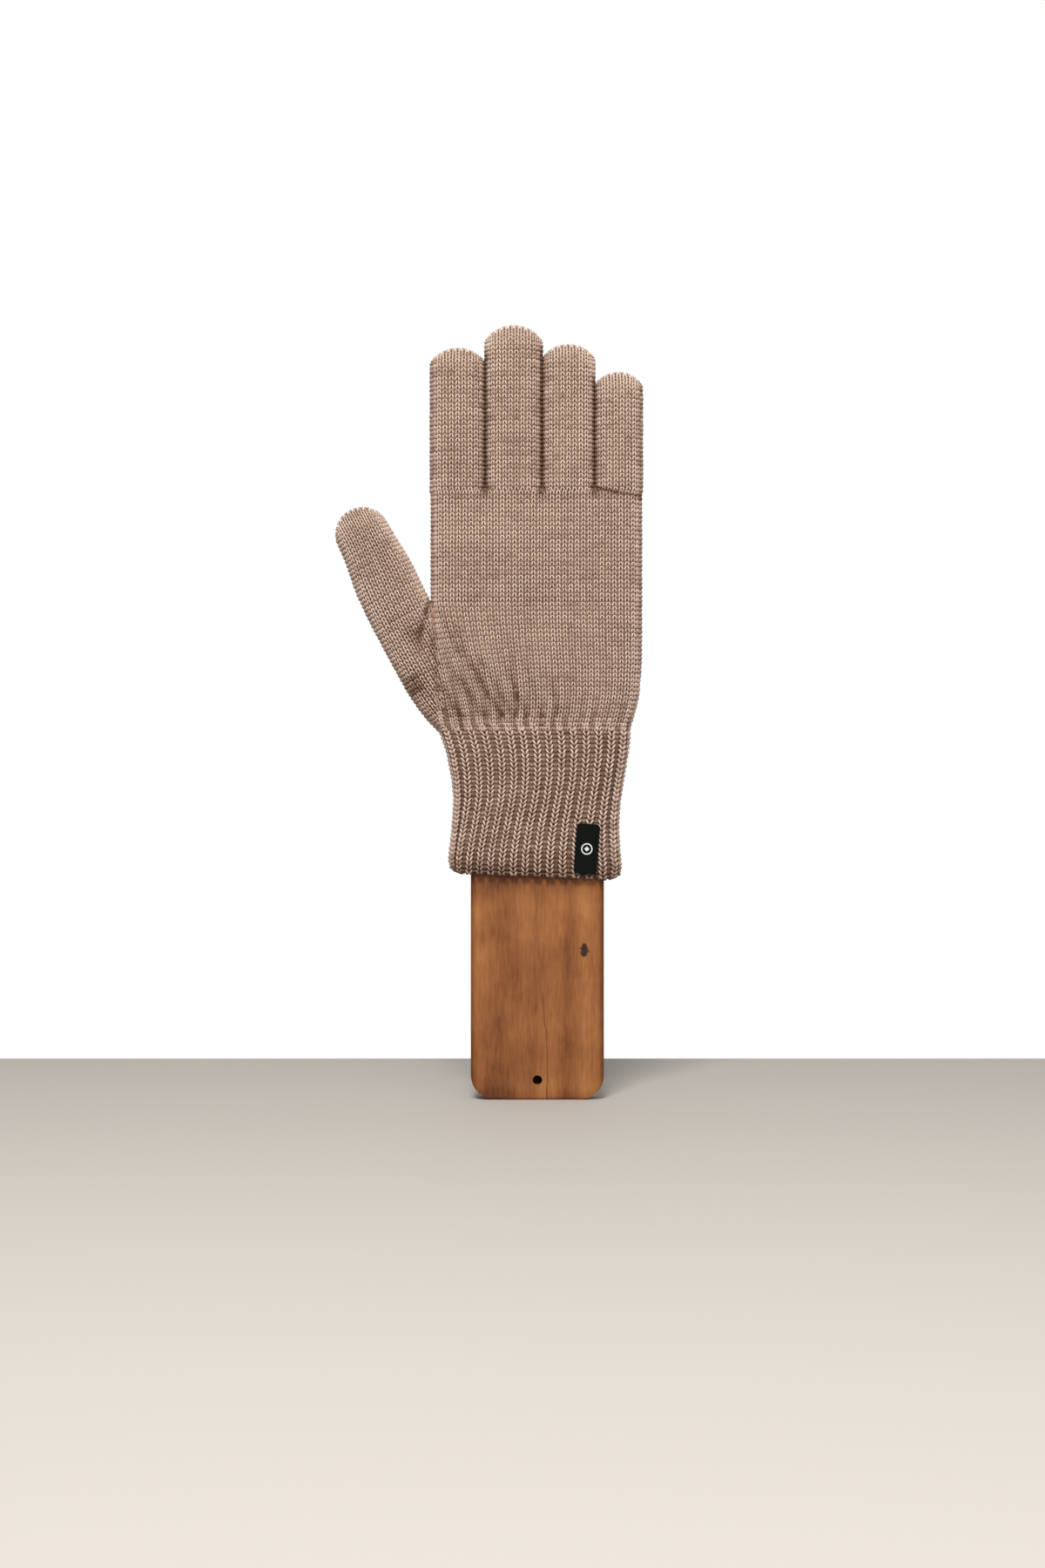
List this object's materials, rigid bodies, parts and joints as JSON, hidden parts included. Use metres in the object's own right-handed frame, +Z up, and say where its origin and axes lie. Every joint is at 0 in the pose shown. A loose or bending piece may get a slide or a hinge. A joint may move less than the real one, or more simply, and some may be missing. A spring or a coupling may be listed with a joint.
{
  "type": "knitted glove on glove form",
  "caption": "Knitted five-finger glove with a ribbed cuff and a small label, pulled over a flat wooden hand-shaped glove form that stands upright.",
  "frame": {"origin": "middle of the wooden form's foot, on the surface that it stands on", "axes": "+Z up along the fingers, -Y out of the labelled front, +X to the right seen from the front, so the thumb is towards -X"},
  "size_m": [0.1519, 0.0276, 0.3703],
  "materials": {
    "wood": "old hand-sanded board, worn satin",
    "wool": "matte heathered plain knitting",
    "wool_join": "matte pulled-in stitches",
    "wool_rib": "matte heathered ribbed knitting",
    "label": "smooth dark green-black rubbery patch",
    "label_print": "white moulded print"
  },
  "bodies": {
    "form": {"wooden_form": "wood"},
    "glove": {"upper_palm": "wool", "lower_palm": "wool", "index_finger": "wool", "middle_finger": "wool", "ring_finger": "wool", "little_finger": "wool", "little_finger_join": "wool_join", "thumb": "wool", "thumb_crotch_join": "wool_join", "finger_crotch_joins": "wool_join", "tip_knots": "wool_join", "rib_cuff": "wool_rib", "cuff_hem": "wool_rib", "label_patch": "label", "label_mark": "label_print"}
  },
  "joints": [
    {"name": "glove_pull_off", "type": "slide", "parent": "form", "child": "glove", "axis": [0, 0, 1], "range_m": [0, 0.27], "deforming": ["lower_palm", "thumb", "rib_cuff", "cuff_hem"]}
  ]
}
